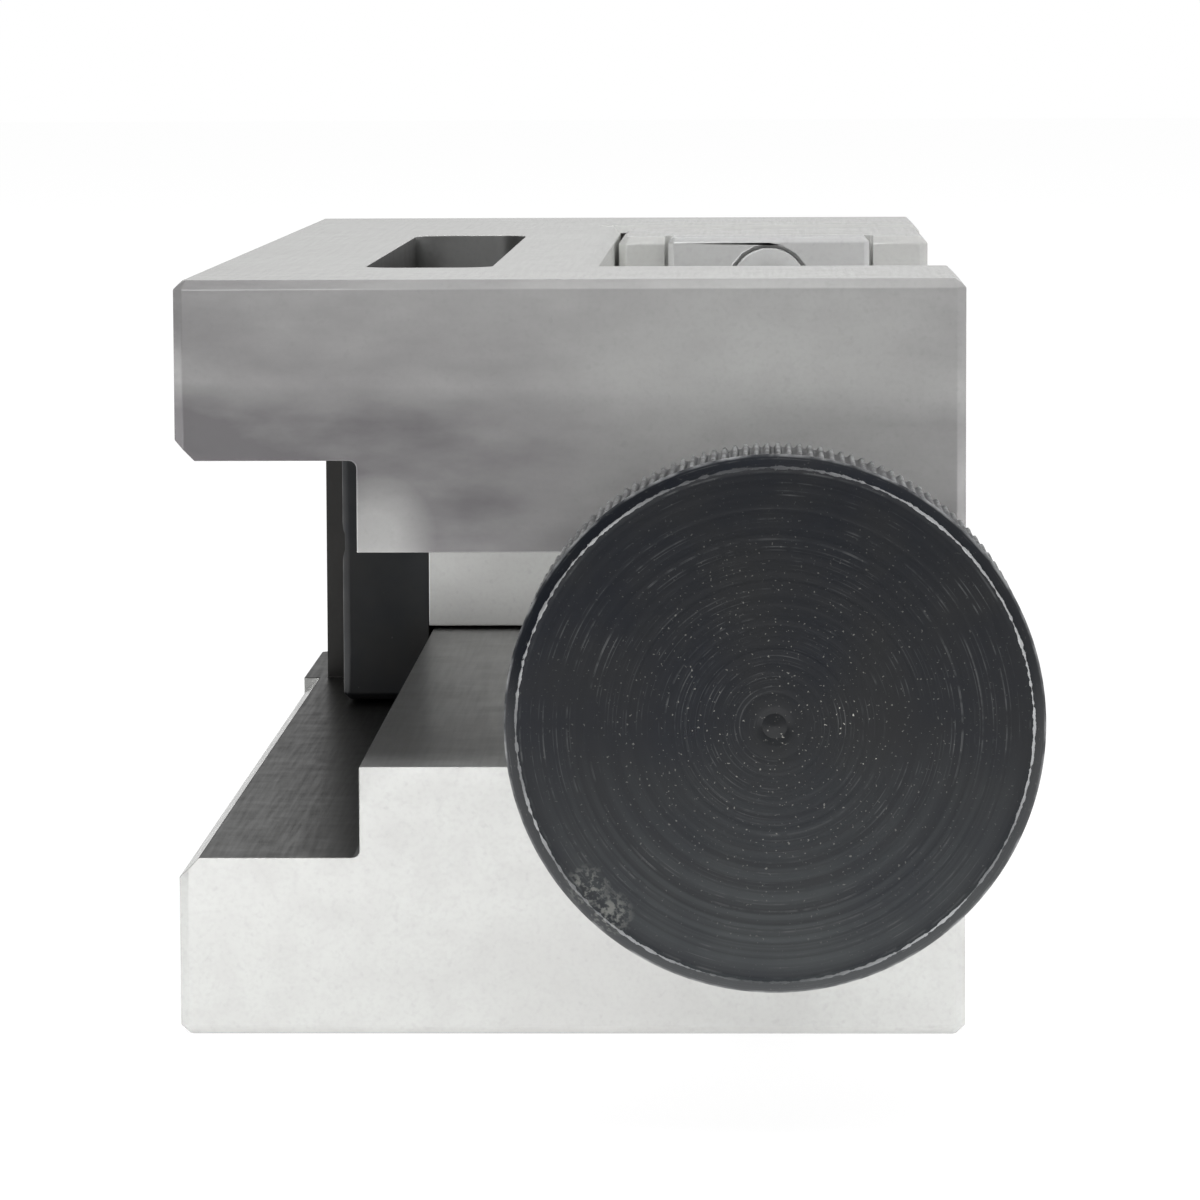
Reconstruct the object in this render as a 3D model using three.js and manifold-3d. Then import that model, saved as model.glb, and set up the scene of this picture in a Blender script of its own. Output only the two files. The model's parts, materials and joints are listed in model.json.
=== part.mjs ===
// A direct-push precision vise lying on its flank, knob towards the viewer.
// Millimetres. X runs from the feet of the base to the tops of the jaws, Y from the knob
// to the fixed jaw, and Z from the flank it lies on to the flank above.
// X is zero halfway up the base, and Y on the clamping face of the fixed jaw.

import * as THREE from "three";
import { mergeVertices } from "three/addons/utils/BufferGeometryUtils.js";
import Module from "manifold-3d";

const wasm = await Module();
wasm.setup();

// Body: one ground block with a screw block, a bed and a fixed jaw
const bedHeight = 27;
const jawHeight = 25;
const bodyWidth = 50;
const screwBlockLength = 22;
const mouthLength = 85;
const fixedJawLength = 21;
const outerChamfer = 0.6;
const jawRootReliefWidth = 1.6;
const jawRootReliefDepth = 1.2;

// Underside of the body: a channel for the keeper and a slot for the tongue
const channelWidth = 26.3;
const channelDepth = 12;
const channelChamfer = 1.35;
const channelRootRadius = 0.5;
const slotWidth = 14.2;
const slotCeilingRise = 0.5;
const endFootRelief = 2;

// Clamping slots in both flanks
const flankSlotWidth = 8.8;
const flankSlotDepth = 8;
const flankSlotLength = 64;
const flankSlotSetback = 20;
const flankSlotCentreHeight = 15.6;
const flankSlotCornerRadius = 2.5;

// Moving jaw and its tongue
const jawOpening = 2;
const movingJawLength = 21;
const movingJawFlankStep = 0.15;
const tongueSetback = 4;
const grooveWidth = 6;
const grooveDepth = 3;
const longGrooveHeight = 10;

// Clearances
const runningGap = 0.3;
const seatGap = 0.3;
const cutOverrun = 1;

// Keeper plate under the tongue
const keeperThickness = 7;
const keeperScrewSpacing = 8.8;
const keeperEdgeChamfer = 0.5;

// Screw, its neck and its nose
const screwBelowMiddle = 0.2;
const threadRadius = 6;
const threadEndChamfer = 0.8;
const neckRadius = 4;
const noseRadius = 6;
const noseLength = 5;
const noseChamfer = 0.6;
const journalRadius = 4.5;

// Split retainer that pulls the jaw back with the screw
const retainerWidth = 16;
const retainerThickness = 5;
const retainerProud = 2;
const retainerSplit = 0.3;
const retainerScrewMargin = 4;
const retainerEdgeChamfer = 0.4;

// Hardened pad that takes the thrust
const padRadius = 5.5;
const padThickness = 2;

// Bronze nut in the screw block, and its lock screw
const nutWall = 2.2;
const nutFlangeStep = 1.4;
const nutFlangeThickness = 3;
const nutChamfer = 0.5;
const lockScrewRadius = 2;
const lockScrewDepth = 1.2;
const lockScrewSocketRadius = 1.15;
const lockScrewSocketDepth = 2;

// Knurled knob and its hub
const knobRadius = 16.15;
const knobThickness = 11.5;
const knobReach = 36.5;
const knobFrontChamfer = 0.75;
const knobRearChamfer = 1;
const knobFaceDish = 0.25;
const knobDishMargin = 1;
const knobPipRadius = 0.7;
const knobPipHeight = 0.2;
const knurlTeeth = 154;
const knurlDepth = 0.26;
const knurlBelowRim = 0.03;
const plainRimWidth = 0.25;
const hubRadius = 10;
const hubLength = 8;
const hubChamfer = 1;
const journalInset = 3;

// Roll pin through the hub
const pinRadius = 1.5;
const pinInset = 0.4;
const pinWall = 0.5;
const pinSlit = 0.5;

// Socket screws: cap heads in the keeper, countersunk heads in the retainer
const keeperScrewRadius = 2;
const capHeadRadius = 3.5;
const capHeadHeight = 4;
const capHeadRim = 0.4;
const keeperScrewLength = 14;
const keeperSocketRadius = 1.7;
const retainerScrewRadius = 1.5;
const flatHeadRadius = 3;
const flatHeadRim = 0.3;
const retainerScrewLength = 11;
const retainerSocketRadius = 1.15;
const socketDepth = 1.8;
const screwTipChamfer = 0.5;

// Facets of the round pieces
const largeRoundSides = 36;
const smallRoundSides = 18;
const filletSteps = 4;
const socketSides = 6;

// Places worked out from the sizes
const baseX = -bedHeight / 2;
const bedX = bedHeight / 2;
const jawTopX = bedX + jawHeight;
const channelFloorX = baseX + channelDepth;
const midZ = bodyWidth / 2;
const screwX = bedX + jawHeight / 2 - screwBelowMiddle;
const bodyBackY = fixedJawLength;
const blockRearY = -mouthLength;
const bodyFrontY = blockRearY - screwBlockLength;
const jawFaceY = -jawOpening;
const jawBackY = jawFaceY - movingJawLength;
const tongueBackY = jawBackY + tongueSetback;
const tongueFootX = channelFloorX - runningGap;
const keeperFootX = tongueFootX - keeperThickness;
const retainerFrontY = jawBackY - retainerProud;
const retainerRearY = retainerFrontY + retainerThickness;
const noseStartY = retainerRearY + seatGap;
const noseEndY = noseStartY + noseLength;
const padStartY = noseEndY + seatGap;
const noseBoreEndY = padStartY + padThickness + seatGap;
const knobFrontY = bodyFrontY - knobReach;
const knobRearY = knobFrontY + knobThickness;
const hubRearY = knobRearY + hubLength;
const journalEndY = knobFrontY + journalInset;
const headAngle = Math.PI / 4;
const flatHeadHeight = flatHeadRim + (flatHeadRadius - retainerScrewRadius) * Math.tan(headAngle);
const nutRadius = threadRadius + runningGap + nutWall;
const nutFlangeRadius = nutRadius + nutFlangeStep;

// Materials
function steel(colour, roughness) {
  return new THREE.MeshStandardMaterial({ color: colour, roughness, metalness: 1 });
}
const groundSteel = steel(0xb9bab8, 0.38);
const turnedSteel = steel(0x8f9193, 0.34);
const hardenedSteel = steel(0xa3a6a8, 0.28);
const blackOxide = steel(0x2b2e32, 0.42);
const bronze = steel(0xb08d57, 0.4);

// Solids and booleans
function solid(geometry) {
  const bare = geometry.clone();
  bare.deleteAttribute("normal");
  bare.deleteAttribute("uv");
  const merged = mergeVertices(bare);
  return new wasm.Manifold(
    new wasm.Mesh({
      numProp: 3,
      vertProperties: merged.attributes.position.array,
      triVerts: new Uint32Array(merged.index.array),
    })
  );
}

function geometryOf(shape) {
  const mesh = shape.getMesh();
  const geometry = new THREE.BufferGeometry();
  geometry.setAttribute("position", new THREE.BufferAttribute(new Float32Array(mesh.vertProperties), 3));
  geometry.setIndex(new THREE.BufferAttribute(new Uint32Array(mesh.triVerts), 1));
  const flat = geometry.toNonIndexed();
  flat.computeVertexNormals();
  return flat;
}

function cut(blank, ...tools) {
  return tools.reduce((left, tool) => left.subtract(tool), blank);
}

function named(name, shape, material) {
  const geometry = shape.isBufferGeometry ? shape : geometryOf(shape);
  const mesh = new THREE.Mesh(geometry, material);
  mesh.name = name;
  return mesh;
}

// Basic forms
function block([x0, x1], [y0, y1], [z0, z1]) {
  const box = new THREE.BoxGeometry(x1 - x0, y1 - y0, z1 - z0);
  return solid(box.translate((x0 + x1) / 2, (y0 + y1) / 2, (z0 + z1) / 2));
}

function rod(radius, start, end, sides = smallRoundSides) {
  const along = new THREE.Vector3().subVectors(end, start);
  const turn = new THREE.Quaternion().setFromUnitVectors(
    new THREE.Vector3(0, 1, 0),
    along.clone().normalize()
  );
  const middle = new THREE.Vector3().addVectors(start, end).multiplyScalar(0.5);
  const cylinder = new THREE.CylinderGeometry(radius, radius, along.length(), sides);
  return solid(cylinder.applyQuaternion(turn).translate(middle.x, middle.y, middle.z));
}

// A profile of [radius, Y] pairs, turned round the Y axis.
function turnedSolid(profile, sides = largeRoundSides) {
  const points = profile.map(([radius, y]) => new THREE.Vector2(radius, y));
  return solid(new THREE.LatheGeometry(points, sides));
}

// An outline of corners, each [across, along, cut], with every convex corner cut off by that much.
function chamferedShape(corners) {
  const shape = new THREE.Shape();
  const points = [];
  corners.forEach(([x, y, size], i) => {
    const here = new THREE.Vector2(x, y);
    if (!size) {
      points.push(here);
      return;
    }
    const before = corners[(i + corners.length - 1) % corners.length];
    const after = corners[(i + 1) % corners.length];
    for (const [nx, ny] of [before, after]) {
      const step = new THREE.Vector2(nx, ny).sub(here).setLength(size);
      points.push(here.clone().add(step));
    }
  });
  shape.setFromPoints(points);
  return shape;
}

// A shape in X and Y, raised along Z with a chamfer round both ends.
function raised(shape, [z0, z1], chamfer) {
  const geometry = new THREE.ExtrudeGeometry(shape, {
    depth: z1 - z0 - chamfer * 2,
    bevelEnabled: chamfer > 0,
    bevelThickness: chamfer,
    bevelSize: chamfer,
    bevelOffset: -chamfer,
    bevelSegments: 1,
    curveSegments: filletSteps,
  });
  return solid(geometry.translate(0, 0, z0 + chamfer));
}

// A shape in X and Z, run along Y.
function runAlong(shape, [y0, y1]) {
  const geometry = new THREE.ExtrudeGeometry(shape, {
    depth: y1 - y0,
    bevelEnabled: false,
    curveSegments: filletSteps,
  });
  return solid(geometry.rotateX(Math.PI / 2).translate(0, y1, 0));
}

// Body
function bodyBlank() {
  const c = outerChamfer;
  const outline = chamferedShape([
    [baseX, bodyFrontY, c],
    [jawTopX, bodyFrontY, c],
    [jawTopX, blockRearY, c],
    [bedX, blockRearY, 0],
    [bedX, -jawRootReliefWidth, 0],
    [bedX - jawRootReliefDepth, -jawRootReliefWidth, 0],
    [bedX - jawRootReliefDepth, 0, 0],
    [jawTopX, 0, c],
    [jawTopX, bodyBackY, c],
    [baseX, bodyBackY, c],
  ]);
  return raised(outline, [0, bodyWidth], c);
}

// The underside profile is drawn for the half above the middle and mirrored below it.
function undersideCut() {
  const channelTop = midZ + channelWidth / 2;
  const slotTop = midZ + slotWidth / 2;
  const mouth = channelChamfer + cutOverrun;
  const half = [
    [baseX - cutOverrun, channelTop + mouth],
    [baseX + channelChamfer, channelTop],
  ];
  for (let step = 0; step <= filletSteps; step += 1) {
    const angle = (Math.PI / 2) * (step / filletSteps);
    half.push([
      channelFloorX - channelRootRadius * (1 - Math.sin(angle)),
      channelTop - channelRootRadius * (1 - Math.cos(angle)),
    ]);
  }
  half.push([channelFloorX, slotTop], [bedX + slotCeilingRise, slotTop]);
  const other = half.map(([x, z]) => [x, bodyWidth - z]).reverse();
  const shape = new THREE.Shape([...half, ...other].map(([x, z]) => new THREE.Vector2(x, z)));
  return runAlong(shape, [bodyFrontY - cutOverrun, 0]);
}

function endFootCut() {
  return block(
    [baseX - cutOverrun, baseX + endFootRelief],
    [-cutOverrun, bodyBackY + cutOverrun],
    [midZ - channelWidth / 2, midZ + channelWidth / 2]
  );
}

function flankSlotShape() {
  const r = flankSlotCornerRadius;
  const left = baseX + flankSlotCentreHeight - flankSlotWidth / 2;
  const near = bodyFrontY + flankSlotSetback;
  const right = left + flankSlotWidth;
  const far = near + flankSlotLength;
  const shape = new THREE.Shape();
  shape.absarc(right - r, near + r, r, -Math.PI / 2, 0, false);
  shape.absarc(right - r, far - r, r, 0, Math.PI / 2, false);
  shape.absarc(left + r, far - r, r, Math.PI / 2, Math.PI, false);
  shape.absarc(left + r, near + r, r, Math.PI, Math.PI * 1.5, false);
  return shape;
}

function flankSlotCuts() {
  const shape = flankSlotShape();
  return [
    raised(shape, [-cutOverrun, flankSlotDepth], 0),
    raised(shape, [bodyWidth - flankSlotDepth, bodyWidth + cutOverrun], 0),
  ];
}

function onScrewAxis(y) {
  return new THREE.Vector3(screwX, y, midZ);
}

function nutCuts() {
  const bore = nutRadius + seatGap;
  const flange = nutFlangeRadius + seatGap;
  const flangeSeatY = blockRearY - nutFlangeThickness - seatGap;
  return [
    rod(bore, onScrewAxis(bodyFrontY - cutOverrun), onScrewAxis(blockRearY), largeRoundSides),
    rod(flange, onScrewAxis(flangeSeatY), onScrewAxis(blockRearY + cutOverrun), largeRoundSides),
  ];
}

const lockScrewY = bodyFrontY + screwBlockLength / 2;

function lockScrewCut() {
  return rod(
    lockScrewRadius + seatGap,
    new THREE.Vector3(screwX, lockScrewY, midZ),
    new THREE.Vector3(jawTopX + cutOverrun, lockScrewY, midZ)
  );
}

function body() {
  const shape = cut(
    bodyBlank(),
    undersideCut(),
    endFootCut(),
    ...flankSlotCuts(),
    ...nutCuts(),
    lockScrewCut()
  );
  return named("body", shape, groundSteel);
}

// Moving jaw
const keeperMiddleY = (tongueBackY + jawFaceY) / 2;
const keeperScrewPlaces = [-keeperScrewSpacing / 2, keeperScrewSpacing / 2].map((y) => keeperMiddleY + y);
const retainerOuterPlace = midZ - retainerScrewMargin;
const retainerInnerPlace = (retainerOuterPlace + neckRadius) / 2;
const retainerScrewPlaces = [
  midZ + retainerOuterPlace,
  midZ + retainerInnerPlace,
  midZ - retainerInnerPlace,
  midZ - retainerOuterPlace,
];

function jawBlank() {
  const c = outerChamfer;
  const footX = bedX + runningGap;
  const grooveX = bedX + longGrooveHeight;
  const outline = chamferedShape([
    [footX, jawBackY, c],
    [jawTopX, jawBackY, c],
    [jawTopX, jawFaceY, c],
    [grooveX + grooveWidth / 2, jawFaceY, 0],
    [grooveX, jawFaceY - grooveDepth, 0],
    [grooveX - grooveWidth / 2, jawFaceY, 0],
    [footX, jawFaceY, c],
  ]);
  return raised(outline, [movingJawFlankStep, bodyWidth - movingJawFlankStep], c);
}

function tongue() {
  const half = slotWidth / 2 - runningGap;
  return block([tongueFootX, screwX], [tongueBackY, jawFaceY - outerChamfer], [midZ - half, midZ + half]);
}

// The upright groove runs from the bed to the top of the jaw.
function uprightGroove() {
  const shape = new THREE.Shape([
    new THREE.Vector2(jawFaceY - grooveDepth, midZ),
    new THREE.Vector2(jawFaceY + cutOverrun, midZ - (grooveWidth / 2) * (1 + cutOverrun / grooveDepth)),
    new THREE.Vector2(jawFaceY + cutOverrun, midZ + (grooveWidth / 2) * (1 + cutOverrun / grooveDepth)),
  ]);
  const length = jawTopX - bedX + cutOverrun;
  const geometry = new THREE.ExtrudeGeometry(shape, { depth: length, bevelEnabled: false });
  const turn = new THREE.Matrix4().makeBasis(
    new THREE.Vector3(0, 1, 0),
    new THREE.Vector3(0, 0, 1),
    new THREE.Vector3(1, 0, 0)
  );
  return solid(geometry.applyMatrix4(turn).translate(bedX, 0, 0));
}

function retainerPocket() {
  const half = retainerWidth / 2 + seatGap;
  return block(
    [screwX - half, screwX + half],
    [jawBackY - cutOverrun, retainerRearY + seatGap],
    [-cutOverrun, bodyWidth + cutOverrun]
  );
}

function movingJaw() {
  const noseBore = rod(
    noseRadius + seatGap,
    onScrewAxis(jawBackY),
    onScrewAxis(noseBoreEndY),
    largeRoundSides
  );
  const retainerHoles = retainerScrewPlaces.map((z) =>
    rod(
      retainerScrewRadius + seatGap,
      new THREE.Vector3(screwX, retainerFrontY, z),
      new THREE.Vector3(screwX, retainerFrontY + retainerScrewLength + seatGap, z)
    )
  );
  const keeperHoles = keeperScrewPlaces.map((y) =>
    rod(
      keeperScrewRadius + seatGap,
      new THREE.Vector3(keeperFootX, y, midZ),
      new THREE.Vector3(keeperFootX + keeperScrewLength + seatGap + runningGap, y, midZ)
    )
  );
  const blank = jawBlank().add(tongue());
  const shape = cut(
    blank,
    uprightGroove(),
    retainerPocket(),
    noseBore,
    ...retainerHoles,
    ...keeperHoles
  );
  return named("moving_jaw", shape, groundSteel);
}

// Keeper plate
function keeperPlate() {
  const c = keeperEdgeChamfer;
  const half = channelWidth / 2 - runningGap;
  const shape = chamferedShape([
    [keeperFootX, tongueBackY, c],
    [tongueFootX, tongueBackY, 0],
    [tongueFootX, jawFaceY - outerChamfer, 0],
    [keeperFootX, jawFaceY - outerChamfer, c],
  ]);
  const holes = keeperScrewPlaces.flatMap((y) => [
    rod(
      keeperScrewRadius + seatGap,
      new THREE.Vector3(keeperFootX - cutOverrun, y, midZ),
      new THREE.Vector3(tongueFootX + cutOverrun, y, midZ)
    ),
    rod(
      capHeadRadius + seatGap,
      new THREE.Vector3(keeperFootX - cutOverrun, y, midZ),
      new THREE.Vector3(keeperFootX + capHeadHeight + seatGap * 2, y, midZ)
    ),
  ]);
  return named("keeper_plate", cut(raised(shape, [midZ - half, midZ + half], c), ...holes), blackOxide);
}

// Socket screws stand along Y with the top of the head at zero.
function socketCut(radius) {
  const depth = socketDepth + cutOverrun;
  const hexagon = new THREE.CylinderGeometry(radius, radius, depth, socketSides);
  return solid(hexagon.translate(0, (socketDepth - cutOverrun) / 2, 0));
}

function socketScrew(headProfile, shankRadius, length, socketRadius) {
  const profile = [
    [0, 0],
    ...headProfile,
    [shankRadius, length - screwTipChamfer],
    [shankRadius - screwTipChamfer, length],
    [0, length],
  ];
  return geometryOf(cut(turnedSolid(profile, smallRoundSides), socketCut(socketRadius)));
}

function capScrewGeometry() {
  const head = [
    [capHeadRadius - capHeadRim, 0],
    [capHeadRadius, capHeadRim],
    [capHeadRadius, capHeadHeight],
    [keeperScrewRadius, capHeadHeight],
  ];
  return socketScrew(head, keeperScrewRadius, keeperScrewLength, keeperSocketRadius);
}

function flatScrewGeometry() {
  const head = [
    [flatHeadRadius, 0],
    [flatHeadRadius, flatHeadRim],
    [retainerScrewRadius, flatHeadHeight],
  ];
  return socketScrew(head, retainerScrewRadius, retainerScrewLength, retainerSocketRadius);
}

function keeperScrews() {
  return keeperScrewPlaces.map((y, i) => {
    const screw = named("keeper_screw_" + (i + 1), capScrewGeometry(), blackOxide);
    screw.position.set(keeperFootX + seatGap, y, midZ);
    screw.rotation.z = -Math.PI / 2;
    return screw;
  });
}

function retainerScrews() {
  return retainerScrewPlaces.map((z, i) => {
    const screw = named("retainer_screw_" + (i + 1), flatScrewGeometry(), hardenedSteel);
    screw.position.set(screwX, retainerFrontY, z);
    return screw;
  });
}

// Split retainer: two halves close round the neck of the screw
function retainerHalf(name, [z0, z1]) {
  const halfWidth = retainerWidth / 2;
  const c = retainerEdgeChamfer;
  const shape = chamferedShape([
    [screwX - halfWidth, retainerFrontY, c],
    [screwX + halfWidth, retainerFrontY, c],
    [screwX + halfWidth, retainerRearY, 0],
    [screwX - halfWidth, retainerRearY, 0],
  ]);
  const neckHole = rod(
    neckRadius + runningGap,
    onScrewAxis(retainerFrontY - cutOverrun),
    onScrewAxis(retainerRearY + cutOverrun),
    largeRoundSides
  );
  const seats = retainerScrewPlaces
    .filter((z) => z > z0 && z < z1)
    .map((z) => {
      const outer = flatHeadRadius + seatGap;
      const inner = retainerScrewRadius + seatGap;
      const profile = [
        [0, -cutOverrun],
        [outer, -cutOverrun],
        [outer, flatHeadRim],
        [inner, flatHeadRim + (outer - inner) * Math.tan(headAngle)],
        [inner, retainerThickness + cutOverrun],
        [0, retainerThickness + cutOverrun],
      ];
      return turnedSolid(profile, smallRoundSides).translate([screwX, retainerFrontY, z]);
    });
  return named(name, cut(raised(shape, [z0, z1], c), neckHole, ...seats), hardenedSteel);
}

function retainer() {
  const edge = movingJawFlankStep;
  return [
    retainerHalf("retainer_upper", [midZ + retainerSplit / 2, bodyWidth - edge]),
    retainerHalf("retainer_lower", [edge, midZ - retainerSplit / 2]),
  ];
}

function thrustPad() {
  const c = padThickness / 5;
  const profile = [
    [0, padStartY],
    [padRadius - c, padStartY],
    [padRadius, padStartY + c],
    [padRadius, padStartY + padThickness - c],
    [padRadius - c, padStartY + padThickness],
    [0, padStartY + padThickness],
  ];
  return named("thrust_pad", turnedSolid(profile).translate([screwX, 0, midZ]), hardenedSteel);
}

// Screw
const pinY = hubRearY - hubLength / 2;

function pinHole() {
  const reach = hubRadius + cutOverrun;
  return rod(
    pinRadius + seatGap,
    new THREE.Vector3(screwX - reach, pinY, midZ),
    new THREE.Vector3(screwX + reach, pinY, midZ)
  );
}

function leadScrew() {
  const threadStartY = hubRearY + seatGap;
  const threadEndY = retainerFrontY - seatGap;
  const c = threadEndChamfer;
  const profile = [
    [0, journalEndY + seatGap],
    [journalRadius - noseChamfer, journalEndY + seatGap],
    [journalRadius, journalEndY + seatGap + noseChamfer],
    [journalRadius, threadStartY],
    [threadRadius - c, threadStartY],
    [threadRadius, threadStartY + c],
    [threadRadius, threadEndY - c],
    [threadRadius - c, threadEndY],
    [neckRadius, threadEndY],
    [neckRadius, noseStartY],
    [noseRadius - noseChamfer, noseStartY],
    [noseRadius, noseStartY + noseChamfer],
    [noseRadius, noseEndY - noseChamfer],
    [noseRadius - noseChamfer, noseEndY],
    [0, noseEndY],
  ];
  const shape = cut(turnedSolid(profile).translate([screwX, 0, midZ]), pinHole());
  return named("lead_screw", shape, turnedSteel);
}

// Nut and its lock screw
function screwNut() {
  const flangeY = blockRearY - nutFlangeThickness;
  const bore = threadRadius + runningGap;
  const c = nutChamfer;
  const profile = [
    [bore + c, bodyFrontY],
    [nutRadius - c, bodyFrontY],
    [nutRadius, bodyFrontY + c],
    [nutRadius, flangeY],
    [nutFlangeRadius, flangeY],
    [nutFlangeRadius, blockRearY - c],
    [nutFlangeRadius - c, blockRearY],
    [bore + c, blockRearY],
    [bore, blockRearY - c],
    [bore, bodyFrontY + c],
    [bore + c, bodyFrontY],
  ];
  return named("screw_nut", turnedSolid(profile).translate([screwX, 0, midZ]), bronze);
}

function lockScrew() {
  const topX = jawTopX - lockScrewDepth;
  const footX = screwX + nutRadius + seatGap;
  const shank = rod(
    lockScrewRadius,
    new THREE.Vector3(footX, lockScrewY, midZ),
    new THREE.Vector3(topX, lockScrewY, midZ)
  );
  const socket = rod(
    lockScrewSocketRadius,
    new THREE.Vector3(topX - lockScrewSocketDepth, lockScrewY, midZ),
    new THREE.Vector3(topX + cutOverrun, lockScrewY, midZ),
    socketSides
  );
  return named("nut_lock_screw", cut(shank, socket), blackOxide);
}

// Knob: a turned blank, knurled behind its plain front rim by crossing it with a toothed prism
function knurledPrism() {
  const crest = knobRadius - knurlBelowRim;
  const points = [];
  for (let tooth = 0; tooth < knurlTeeth; tooth += 1) {
    for (const [share, radius] of [
      [0, crest],
      [0.5, crest - knurlDepth],
    ]) {
      const angle = ((tooth + share) / knurlTeeth) * Math.PI * 2;
      points.push(new THREE.Vector2(screwX + radius * Math.cos(angle), midZ + radius * Math.sin(angle)));
    }
  }
  return runAlong(new THREE.Shape(points), [knobFrontY - cutOverrun, knobRearY + cutOverrun]);
}

function knobBlank() {
  const face = knobRadius - knobFrontChamfer - knobDishMargin;
  const profile = [
    [0, knobFrontY + knobFaceDish - knobPipHeight],
    [knobPipRadius, knobFrontY + knobFaceDish],
    [face, knobFrontY + knobFaceDish],
    [face + knobDishMargin / 2, knobFrontY],
    [knobRadius - knobFrontChamfer, knobFrontY],
    [knobRadius, knobFrontY + knobFrontChamfer],
    [knobRadius, knobRearY - knobRearChamfer],
    [knobRadius - knobRearChamfer, knobRearY],
    [0, knobRearY],
  ];
  return turnedSolid(profile, knurlTeeth).translate([screwX, 0, midZ]);
}

function hubBlank() {
  const profile = [
    [0, knobRearY - knobRearChamfer],
    [hubRadius, knobRearY - knobRearChamfer],
    [hubRadius, hubRearY - hubChamfer],
    [hubRadius - hubChamfer, hubRearY],
    [0, hubRearY],
  ];
  return turnedSolid(profile).translate([screwX, 0, midZ]);
}

function knob() {
  const bore = rod(
    journalRadius + seatGap,
    onScrewAxis(journalEndY),
    onScrewAxis(hubRearY + cutOverrun),
    largeRoundSides
  );
  const rimRearY = knobFrontY + knobFrontChamfer + plainRimWidth;
  const rim = rod(knobRadius, onScrewAxis(knobFrontY - cutOverrun), onScrewAxis(rimRearY), knurlTeeth);
  const head = knobBlank().intersect(knurledPrism().add(rim));
  return named("knob", cut(head.add(hubBlank()), bore, pinHole()), blackOxide);
}

// The roll pin is a rolled strip: a tube with a slit along it.
function knobPin() {
  const half = hubRadius - pinInset;
  const start = new THREE.Vector3(screwX - half, pinY, midZ);
  const end = new THREE.Vector3(screwX + half, pinY, midZ);
  const over = new THREE.Vector3(cutOverrun, 0, 0);
  const core = rod(pinRadius - pinWall, start.clone().sub(over), end.clone().add(over));
  const slit = block(
    [start.x - cutOverrun, end.x + cutOverrun],
    [pinY - pinRadius - cutOverrun, pinY],
    [midZ - pinSlit / 2, midZ + pinSlit / 2]
  );
  return named("knob_pin", cut(rod(pinRadius, start, end), core, slit), hardenedSteel);
}

// Assembly
const jawGroup = new THREE.Group();
jawGroup.add(movingJaw(), keeperPlate(), ...keeperScrews());
jawGroup.add(...retainer(), ...retainerScrews(), thrustPad());

const screwGroup = new THREE.Group();
screwGroup.add(leadScrew(), knob(), knobPin());

const vise = new THREE.Group();
vise.add(body(), screwNut(), lockScrew(), jawGroup, screwGroup);

export default vise;
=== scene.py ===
# %% [markdown]
# # A small precision vise, lying on its flank
# The vise is one ground steel block with a jaw that slides along it. A screw with a knurled black knob
# pushes and pulls the jaw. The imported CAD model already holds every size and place, so this lesson only
# dresses it: sharp machined edges get a small break, plain rods get their threads, the knob gets its
# knurl and turning marks, and every surface gets a finish made of nodes.

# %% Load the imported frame
import json
import math
import bmesh
import bpy
from mathutils import Euler, Matrix, Vector

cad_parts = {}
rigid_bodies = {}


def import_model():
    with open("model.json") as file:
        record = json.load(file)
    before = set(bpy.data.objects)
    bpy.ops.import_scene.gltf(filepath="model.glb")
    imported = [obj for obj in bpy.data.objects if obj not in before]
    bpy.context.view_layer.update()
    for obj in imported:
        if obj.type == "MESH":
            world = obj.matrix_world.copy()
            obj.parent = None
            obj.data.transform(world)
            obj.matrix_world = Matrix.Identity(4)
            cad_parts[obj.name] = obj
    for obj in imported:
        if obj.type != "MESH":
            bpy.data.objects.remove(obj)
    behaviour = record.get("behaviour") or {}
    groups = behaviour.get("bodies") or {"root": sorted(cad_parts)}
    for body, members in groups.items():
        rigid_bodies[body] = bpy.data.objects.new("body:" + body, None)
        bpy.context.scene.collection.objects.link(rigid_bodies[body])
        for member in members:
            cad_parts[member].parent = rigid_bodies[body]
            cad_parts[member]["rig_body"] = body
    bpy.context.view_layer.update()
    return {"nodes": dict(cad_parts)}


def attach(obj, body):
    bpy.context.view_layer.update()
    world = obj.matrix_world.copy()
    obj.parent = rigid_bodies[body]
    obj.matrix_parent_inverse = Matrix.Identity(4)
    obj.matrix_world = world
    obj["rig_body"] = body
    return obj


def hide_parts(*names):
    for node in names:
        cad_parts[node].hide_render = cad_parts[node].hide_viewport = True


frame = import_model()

MM = 0.001
SCREW_X, SCREW_Z = 25.8, 25.0

# %% [markdown]
# ## Working by hand, in code
# Operators act on whatever is selected, so each step first says what it works on. A new piece is moved
# by applying its place to its mesh, because the finished object has to stand at the origin.

# %% Small helpers for selecting and finishing
def deselect():
    bpy.ops.object.select_all(action="DESELECT")


def take(piece):
    deselect()
    piece.select_set(True)
    bpy.context.view_layer.objects.active = piece


def set_down(piece):
    """Put the piece's place and turn into its mesh."""
    take(piece)
    bpy.ops.object.transform_apply(location=True, rotation=True, scale=True)
    return piece


def apply_modifier(piece, kind, **settings):
    take(piece)
    modifier = piece.modifiers.new(kind.title(), kind)
    for name, value in settings.items():
        setattr(modifier, name, value)
    bpy.ops.object.modifier_apply(modifier=modifier.name)


# %% Break the edges of a piece
LARGE_FACE = 40 * MM * MM


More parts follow.
